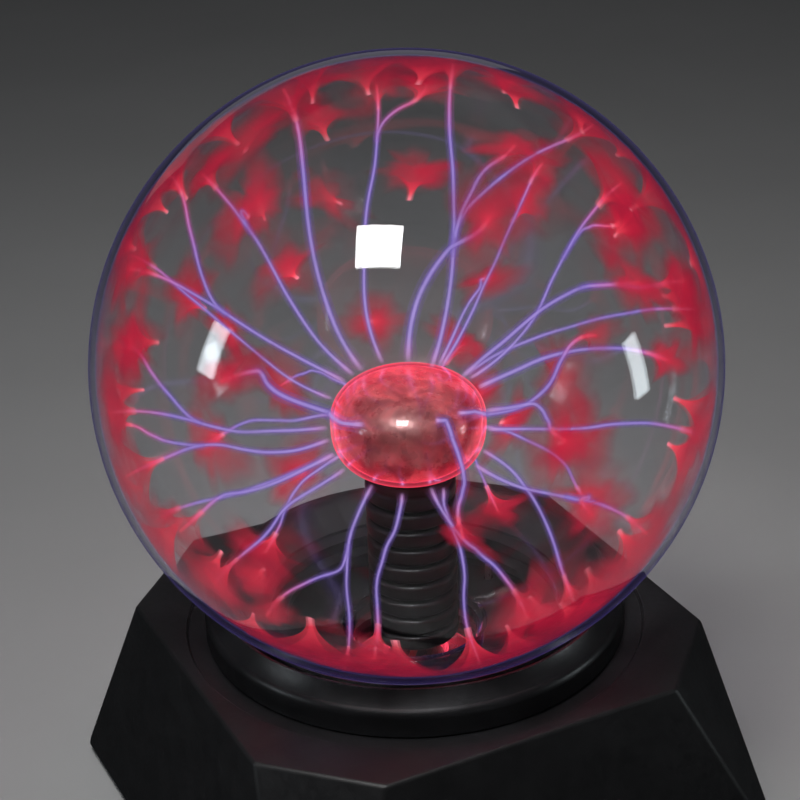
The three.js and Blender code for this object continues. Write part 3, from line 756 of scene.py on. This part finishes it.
def add_foot(shells, centre, spine, radius, rng, looks):
    """Red gas at the glass: a thin throat that opens like a trumpet and spreads over the glass, ragged."""
    sides, flare, skirt = 28, 12, 7  # round it, down the throat, and on over the glass
    curl, mouth = 2.6, 0.62  # how late it opens, and how far by the glass
    at_mouth, under_lid = 0.6, 0.35  # their "along"
    rows = flare + skirt
    normal = outward(centre)
    across = normal.orthogonal().normalized()
    across.rotate(Quaternion(normal, rng.uniform(0, tau)))
    up = normal.cross(across)
    stretch = rng.uniform(0.65, 1.5)
    for look, (size, throat, blur) in zip(looks, ((0.75, 0.5 * MM, 0.0), (1.15, 1.1 * MM, 1.5 * MM))):
        seed = Vector((rng.uniform(0, 90), rng.uniform(0, 90), 0))
        shift = (across * rng.uniform(-1, 1) + up * rng.uniform(-1, 1)) * blur
        lobes = []
        for k in range(sides):
            angle = tau * k / sides
            ragged = noise.noise(seed + Vector((1.3 * cos(angle), 1.3 * sin(angle), 0)))
            fine = noise.noise(seed + Vector((3.5 * cos(angle), 3.5 * sin(angle), 7)))
            lobes.append(max(0.25, 1 + 0.8 * ragged + 0.35 * fine))
        points, along = [spine(0.0)], [0.0]
        for i in range(rows + 1):
            s = min(1.0, i / flare)
            beyond = max(0.0, (i - flare) / skirt)
            place = spine(s)
            for k in range(sides):
                angle = tau * k / sides
                wide = radius * size * lobes[k] * (s ** curl * mouth + (1 - mouth) * beyond)
                wide += throat * (1 - s)
                side = across * (cos(angle) * stretch) + up * (sin(angle) / stretch)
                point = place + side * wide + shift * s
                reach = (point - GLOBE_CENTRE).length
                limit = INSIDE_RADIUS - CLEAR_OF_GLASS - (0.2 * MM if beyond else 0)
                if reach > limit or beyond:
                    point = GLOBE_CENTRE + (point - GLOBE_CENTRE) * (limit / reach)
                points.append(point)
                along.append(at_mouth * s + (1 - at_mouth) * beyond)
        lid = GLOBE_CENTRE + normal * (INSIDE_RADIUS - CLEAR_OF_GLASS * 0.5)
        points.append(lid)
        along.append(under_lid)
        shells.add(points, tube_faces(rows + 1, sides), along, look)


def along_route(route, start):
    """A route's last part as a function of a share from 0, where it starts, to 1 at the glass."""
    def spine(share):
        place = (start + (1 - start) * share) * (len(route) - 1)
        i = min(int(place), len(route) - 2)
        return route[i].lerp(route[i + 1], place - i)
    return spine


GAS_LOOKS = [FILAMENT_CORE, FILAMENT_BODY, FILAMENT_HALO, FOOT_INNER, FOOT_OUTER]
FOOT_LOOKS = (3, 4)

# The least and the greatest radius of a foot, in mm.
TRUNK_FEET, FORK_FEET, CREEPING_FEET = (10, 17), (8, 14), (7, 11)


def add_ending(shells, route, rng, radii):
    """The foot of a filament, over the last stretch of its route."""
    radius = rng.uniform(*radii) * MM
    length = sum((b - a).length for a, b in zip(route, route[1:]))
    start = 1 - min(0.5, rng.uniform(9, 15) * MM / length)
    add_foot(shells, route[-1], along_route(route, start), radius, rng, FOOT_LOOKS)


def make_filaments():
    rng = Random(FILAMENT_SEED)
    noise.seed_set(FILAMENT_SEED)
    for number, (start, end, strength, forks) in enumerate(FILAMENTS, 1):
        shells = Shells()
        root = on_bulb(*start)
        route = wander(root, (root - BULB_CENTRE).normalized(), on_glass(*end), rng)
        add_thread(shells, route, strength)
        add_ending(shells, route, rng, TRUNK_FEET)
        for share, azimuth, elevation in forks:
            at = round(share * ROUTE_STEPS)
            leave = (route[at + 1] - route[at - 1]).normalized()
            branch = wander(route[at], leave, on_glass(azimuth, elevation), rng, 3 * MM)
            add_thread(shells, branch, strength * 0.9, share)
            add_ending(shells, branch, rng, FORK_FEET)
        shells.piece(f"filament_{number:02d}", GAS_LOOKS, "discharge_violet")
    for number, (places, end, strength) in enumerate(CREEPING, 1):
        shells = Shells()
        creep = []
        for (a0, e0), (a1, e1) in zip(places, places[1:]):
            shares = [i / CREEP_STEPS for i in range(CREEP_STEPS)]
            creep += [on_bulb(a0 + (a1 - a0) * share, e0 + (e1 - e0) * share) for share in shares]
        root, finish = on_bulb(*places[-1]), on_glass(*end)
        off_the_bulb = (root - BULB_CENTRE).normalized() * 0.3 + (finish - root).normalized() * 0.7
        leave = ((root - creep[-1]).normalized() * 0.4 + off_the_bulb).normalized()
        route = wander(root, leave, finish, rng, 4 * MM)
        add_thread(shells, creep + route, strength)
        add_ending(shells, route, rng, CREEPING_FEET)
        shells.piece(f"creeping_filament_{number}", GAS_LOOKS, "discharge_violet")


def make_feet_alone():
    """Feet whose filament has just gone, in one piece for each sixth of the way round."""
    rng = Random(FEET_SEED)
    sector_count, sway, depths, spread = 6, 4, (4, 13), 1.3
    sectors = [Shells() for _ in range(sector_count)]
    for azimuth, elevation, radius in FEET_ALONE:
        centre = on_glass(azimuth, elevation)
        lean = Vector((rng.uniform(-1, 1), rng.uniform(-1, 1), rng.uniform(-1, 1))) * sway * MM
        tip = centre - outward(centre) * rng.uniform(*depths) * MM + lean
        shells = sectors[int(azimuth % 360 * sector_count // 360)]
        add_foot(shells, centre, along_route([tip, centre], 0.0), radius * spread * MM, rng, (0, 1))
    for number, shells in enumerate(sectors, 1):
        shells.piece(f"glow_on_glass_{number}", [FOOT_INNER, FOOT_OUTER], "discharge_red")


# ---- Collar and base ----

def make_collar():
    """The ring round the globe's foot: a rounded shoulder, a rolled lip, and a seat along the glass."""
    outer, bottom = 71.3 * MM, COLLAR_BOTTOM
    shoulder = BASE_TOP + 5.5 * MM
    seat = GLOBE_RADIUS + 1.6 * MM
    centre = (0, GLOBE_CENTRE.z)
    lip, inner, wall = 64.6 * MM, 50 * MM, 2.5 * MM
    seat_curve = arc(centre, (seat, seat), angle_at(lip, seat), angle_at(inner, seat), 16)
    core = arc(centre, (seat + wall,) * 2, angle_at(inner + wall, seat + wall),
               angle_at(lip - 2 * MM, seat + wall), 12)
    top = seat_curve[0][1]
    profile = [(outer - 0.5 * MM, bottom), (outer, bottom + 0.5 * MM)]
    profile += arc((outer - 3.5 * MM, shoulder), (3.5 * MM,) * 2, 0, 62, 10)
    profile += arc((lip + 1.5 * MM, top + 0.4 * MM), (0.9 * MM,) * 2, 62, 170, 6)
    profile += seat_curve + [(inner, bottom), (inner + wall, bottom)] + core
    profile += [(outer - wall, shoulder), (outer - wall, bottom)]
    collar = turned("globe_collar_moulded", profile, 160)
    finished(collar, COLLAR_PLASTIC, "black_plastic", "globe_collar")


def down_the_base(z):
    """A height as a share of the way from the base's top face to its foot."""
    return (SHELL_HIGH.z - z) / (SHELL_HIGH.z - SHELL_LOW.z)


def base_outline(inset, top, bottom):
    """Corners of the base's body: eight-sided above, coming to a square at the foot."""
    foot_reach = SHELL_HIGH.x
    points = []
    for z in (top, bottom):
        share = down_the_base(z)
        side = TOP_REACH + (foot_reach - TOP_REACH) * share - inset
        diagonal = CORNER_REACH + (foot_reach * sqrt(2) - CORNER_REACH) * share - inset
        along = min(diagonal * sqrt(2) - side, side)
        for sx in (-1, 1):
            for sy in (-1, 1):
                points += [(sx * side, sy * along, z), (sx * along, sy * side, z)]
    return list(dict.fromkeys(points))


def helper(mesh):
    """A mesh as an object for a boolean cut."""
    return new_object("helper", mesh)


def along_y(piece, place):
    """Lays a piece turned about the vertical down along Y, its low end at a place."""
    piece.data.transform(Matrix.Translation(place) @ Matrix.Rotation(radians(-90), 4, "X"))


def bar_along_y(radius, y0, y1, x, z, segments=48, mouth=0.0):
    """A round cutter along Y, flared at its y1 end to break the hole's edge."""
    bar = turned("helper", [(0, y0), (radius, y0), (radius, y1 - mouth), (radius + mouth, y1),
                            (radius + mouth, y1 + 4 * MM), (0, y1 + 4 * MM)], segments)
    along_y(bar, (x, 0, z))
    return bar


def back_face(z):
    """Where the outside of the back wall is at a height."""
    return TOP_REACH + (SHELL_HIGH.y - TOP_REACH) * down_the_base(z)


def make_base():
    """The housing: a faceted shell with a round step in its top and three openings in its back wall."""
    floor = BASE_TOP - 1.5 * MM
    step, opening, edge, over = 77.7 * MM, 45 * MM, 0.45 * MM, 1 * MM
    body = helper(convex(base_outline(0, BASE_TOP, SHELL_LOW.z), bevel=1.3 * MM, segments=4))
    hollow = helper(convex(base_outline(SHELL_WALL, floor - SHELL_WALL, SHELL_LOW.z - over)))
    recess = turned("helper", [
        (0, floor), (step - edge, floor), (step, floor + edge), (step, BASE_TOP - edge),
        (step + edge, BASE_TOP), (step + edge + over, BASE_TOP + over), (0, BASE_TOP + over),
    ], 192)
    hole = turned("helper", [(0, floor - 6 * MM), (opening, floor - 6 * MM), (opening, floor + over),
                             (0, floor + over)], 96)
    outside = back_face(PORT_HEIGHT)
    within, without = outside - 6 * MM, outside + 0.1 * MM
    jack_x, microphone_x = middle_of("dc_jack_housing").x, middle_of("microphone_capsule").x
    inlet = bar_along_y(4.5 * MM, within, without, jack_x, PORT_HEIGHT, 64, 0.5 * MM)
    sound = bar_along_y(1 * MM, within, without, microphone_x, PORT_HEIGHT, 32, 0.3 * MM)
    slot_half, slot_rise = 6.6 * MM, 2.5 * MM
    slot = helper(block((-slot_half, outside - 8 * MM, PORT_HEIGHT - slot_rise),
                        (slot_half, outside + 4 * MM, PORT_HEIGHT + slot_rise)))
    shell = cut("base_shell_moulded", body, [hollow, recess, hole, inlet, sound, slot])
    finished(shell, PLASTIC, "black_plastic", "base_shell")


def make_feet():
    """Rubber pads, dished underneath and with a rounded rim."""
    dish, edge = 0.4 * MM, 1 * MM
    for i in range(1, 5):
        low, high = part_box(f"rubber_foot_{i}")
        radius = (high.x - low.x) / 2
        profile = [(0, dish), (radius - 3 * MM, dish), (radius - 2.6 * MM, 0)]
        profile += arc((radius - edge, edge), (edge, edge), -90, 0, 5)
        profile += [(radius, high.z), (0, high.z)]
        foot = turned(f"foot_pad_{i}", profile, 48, ((low.x + high.x) / 2, (low.y + high.y) / 2))
        finished(foot, FOOT_RUBBER, "black_rubber", f"rubber_foot_{i}")


# ---- Small parts that show at the back and underneath ----

def make_knob():
    """The switch's slider: a carrier, and a rounded stalk with three thumb ridges."""
    low, high = KNOB_LOW, KNOB_HIGH
    x, half = (low.x + high.x) / 2, 2 * MM
    inside, stalk_end = high.y - 8 * MM, high.y - 0.6 * MM
    ridge_root, ridge_half = high.y - 1.2 * MM, 0.42 * MM
    carrier = block((low.x, low.y, low.z), (high.x, inside, high.z), 0.3 * MM)
    stalk = block((x - half, inside - 1 * MM, low.z), (x + half, stalk_end, high.z), 0.35 * MM)
    parts = [helper(carrier), helper(stalk)]
    for offset in (-1.5, 0, 1.5):
        middle = x + offset * MM
        ridge = block((middle - ridge_half, ridge_root, low.z + 0.1 * MM),
                      (middle + ridge_half, high.y, high.z - 0.1 * MM), 0.25 * MM)
        parts.append(helper(ridge))
    knob = joined("mode_switch_knob", parts)
    knob.data.set_sharp_from_angle(angle=radians(35))
    finished(knob, KNOB_PLASTIC, "black_plastic", "mode_switch_slider", body="switch_slider")


def make_inlet():
    """Moulded inlet with a stepped bore, and the turned pin in the middle of it."""
    low, high = JACK_LOW, JACK_HIGH
    x = (low.x + high.x) / 2
    bore, depth = 3.2 * MM, 10 * MM
    body = helper(block(low, high, 0.4 * MM))
    hole = turned("helper", [(0, 0), (bore, 0), (bore, depth - 0.5 * MM), (bore + 0.5 * MM, depth),
                             (bore + 0.5 * MM, depth + 2 * MM), (0, depth + 2 * MM)], 64)
    along_y(hole, (x, high.y - depth, PORT_HEIGHT))
    housing = cut("dc_inlet_moulded", body, [hole])
    finished(housing, JACK_PLASTIC, "black_plastic", "dc_jack_housing")

    pin_low, pin_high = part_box("dc_jack_pin")
    radius, length = (pin_high.x - pin_low.x) / 2, pin_high.y - pin_low.y
    nose = 0.9 * MM
    profile = [(0, 0), (radius, 0)] + arc((0, length - nose), (radius, nose), 0, 90, 8)
    profile[-1] = (0, length)
    pin = turned("dc_inlet_pin", profile, 32)
    along_y(pin, (x, pin_low.y, PORT_HEIGHT))
    finished(pin, NICKEL, "contact_metal", "dc_jack_pin")


def make_cover_screws():
    """Pan-head screws with a cross recess, heads down, and a coarse thread for plastic."""
    head, head_height, shank, pitch = 2.8 * MM, 1.4 * MM, 1.0 * MM, 1.1 * MM
    slot_half, slot_reach = 0.32 * MM, 1.5 * MM
    for i in range(1, 5):
        node = f"cover_screw_{i}"
        low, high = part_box(node)
        place = middle_of(node)
        under_head = low.z + head_height
        crown = arc((head - 1.1 * MM, under_head - 0.2 * MM), (1.1 * MM, 1.2 * MM), -90, 0, 8)
        profile = [(0, low.z)] + crown
        profile += [(head, under_head), (shank, under_head)]
        z = under_head + pitch
        while z < high.z - 1.6 * MM:
            profile += [(shank, z - 0.3 * MM), (shank + 0.25 * MM, z), (shank, z + 0.3 * MM)]
            z += pitch
        profile += [(shank, high.z - 1.2 * MM), (0, high.z)]
        body = turned("helper", profile, 40)
        slots = []
        below, slot_depth = low.z - 1 * MM, low.z + 0.8 * MM
        for across, along in ((slot_half, slot_reach), (slot_reach, slot_half)):
            slots.append(helper(block((-across, -along, below), (across, along, slot_depth))))
        screw = cut(f"cover_screw_steel_{i}", body, slots)
        screw.data.transform(Matrix.Translation((place.x, place.y, 0)) @ Matrix.Rotation(0.6 * i, 4, "Z"))
        finished(screw, SCREW_STEEL, "screw_steel", node)


# ---- CAD parts that keep their shape ----

def dress_cad_parts():
    looks = {
        "exhaust_stub": STUB_GLASS, "globe_gasket": GASKET_RUBBER, "globe_clamp": PLASTIC,
        "bottom_cover": PLASTIC, "circuit_board": LAMINATE, "flyback_core": FERRITE,
        "flyback_coil": RESIN, "primary_winding": COPPER,
        "high_voltage_lead": LEAD_SILICONE, "power_transistor": CHIP_BODY, "heat_sink": ALUMINIUM,
        "filter_capacitor_1": CAN_SLEEVE, "filter_capacitor_2": CAN_SLEEVE, "timer_chip": CHIP_BODY,
        "audio_chip": CHIP_BODY, "mode_switch_housing": SCREW_STEEL, "microphone_capsule": ALUMINIUM,
    }
    for kind, count in (("collar_screw", 3), ("clamp_screw", 3), ("board_screw", 4)):
        for i in range(count):
            looks[f"{kind}_{i + 1}"] = SCREW_STEEL
    for name, look in looks.items():
        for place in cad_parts[name].material_slots:
            place.material = look
    for name in ("bottom_cover", "mode_switch_housing"):
        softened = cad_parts[name].modifiers.new("softened_edges", "BEVEL")
        softened.width = 0.3 * MM
        softened.segments = 2
        softened.limit_method = "ANGLE"


# ---- Floor, light and camera ----

def make_floor():
    s = Surface("pale_floor")
    s.link(s.ramp(s.noise(5, 4), (0.3, 0.52), (0.7, 0.56)), s.shader.inputs["Base Color"])
    s.set(Roughness=0.8, Specular_IOR_Level=0.0)
    s.bump(s.noise(400, 3), 0.03, 1 * MM)
    reach = 6.0
    mesh = mesh_from([(-reach, -reach, 0), (reach, -reach, 0), (reach, reach, 0), (-reach, reach, 0)],
                     [(0, 1, 2, 3)])
    floor = new_object("floor", mesh)
    floor.data.materials.append(s.material)
    floor.visible_glossy = False


def softbox(name, azimuth, elevation, distance, size, power, colour=(1, 1, 1), roll=0):
    lamp = bpy.data.lights.new(name, "AREA")
    lamp.shape = "RECTANGLE"
    lamp.size, lamp.size_y = size
    lamp.energy = power
    lamp.color = colour
    holder = bpy.data.objects.new(name, lamp)
    away = towards(azimuth, elevation)
    holder.location = GLOBE_CENTRE + away * distance
    holder.rotation_mode = "QUATERNION"
    facing = (-away).to_track_quat("-Z", "Y")
    holder.rotation_quaternion = facing @ Quaternion((0, 0, 1), radians(roll))
    bpy.context.scene.collection.objects.link(holder)
    return holder


def unseen(holder, *rays):
    """Hides a light from some kinds of ray."""
    for ray in rays:
        setattr(holder, f"visible_{ray}", False)


def light_scene():
    """The photo's windows and softbox, and the discharge's own glow."""
    key = softbox("overhead_softbox", -43, 64.5, 1.0, (0.245, 0.255), 1.3, roll=9)
    key.data.spread = radians(90)
    softbox("left_window", -99, 15, 1.3, (0.16, 0.34), 1.3, colour=(0.86, 0.94, 1.0))
    right = softbox("right_window", 58, 1, 1.3, (0.15, 0.36), 1.1, colour=(0.86, 0.96, 1.0))
    unseen(right, "diffuse")
    softbox("fill_panel", -30, 40, 2.6, (2.0, 1.2), 0.9)
    unseen(softbox("ceiling_in_the_glass", 0, 90, 1.6, (3.4, 3.4), 2.6), "diffuse")
    unseen(softbox("back_panel", 165, 6, 2.0, (1.6, 0.4), 0.3), "camera", "transmission")
    inside = bpy.data.lights.new("discharge_light", "POINT")
    inside.energy = 0.06
    inside.color = (1.0, 0.22, 0.42)
    inside.shadow_soft_size = 30 * MM
    holder = bpy.data.objects.new("discharge_light", inside)
    holder.location = GLOBE_CENTRE + Vector((0, 0, 40 * MM))
    unseen(holder, "camera", "transmission", "glossy")
    bpy.context.scene.collection.objects.link(holder)
    world = bpy.data.worlds.new("studio")
    bpy.context.scene.world = world
    world.use_nodes = True
    background = world.node_tree.nodes["Background"]
    background.inputs["Color"].default_value = (0.9, 0.93, 1.0, 1)
    background.inputs["Strength"].default_value = 0.018


def place_camera():
    """Where the photo's camera stands, rolled a little."""
    azimuth, elevation, distance, roll = -26.24, 25.2, 0.650, -2.0
    camera_data = bpy.data.cameras.new("camera")
    camera_data.sensor_width = 36
    camera_data.lens = 90.7
    camera_data.clip_start = 0.01
    camera = bpy.data.objects.new("camera", camera_data)
    bpy.context.scene.collection.objects.link(camera)
    camera.location = GLOBE_CENTRE + towards(azimuth, elevation) * distance
    aim = GLOBE_CENTRE + Vector((-2.2, 1.1, -11.7)) * MM
    level = (aim - camera.location).to_track_quat("-Z", "Y")
    camera.rotation_mode = "QUATERNION"
    camera.rotation_quaternion = level @ Quaternion((0, 0, 1), radians(roll))
    bpy.context.scene.camera = camera


make_globe()
make_electrode()
make_lining()
make_sleeve()
make_filaments()
make_feet_alone()
make_collar()
make_base()
make_feet()
make_knob()
make_inlet()
make_cover_screws()
dress_cad_parts()
make_floor()
light_scene()
place_camera()

scene = bpy.context.scene
scene.view_settings.view_transform = "Standard"
scene.cycles.transparent_max_bounces = 96
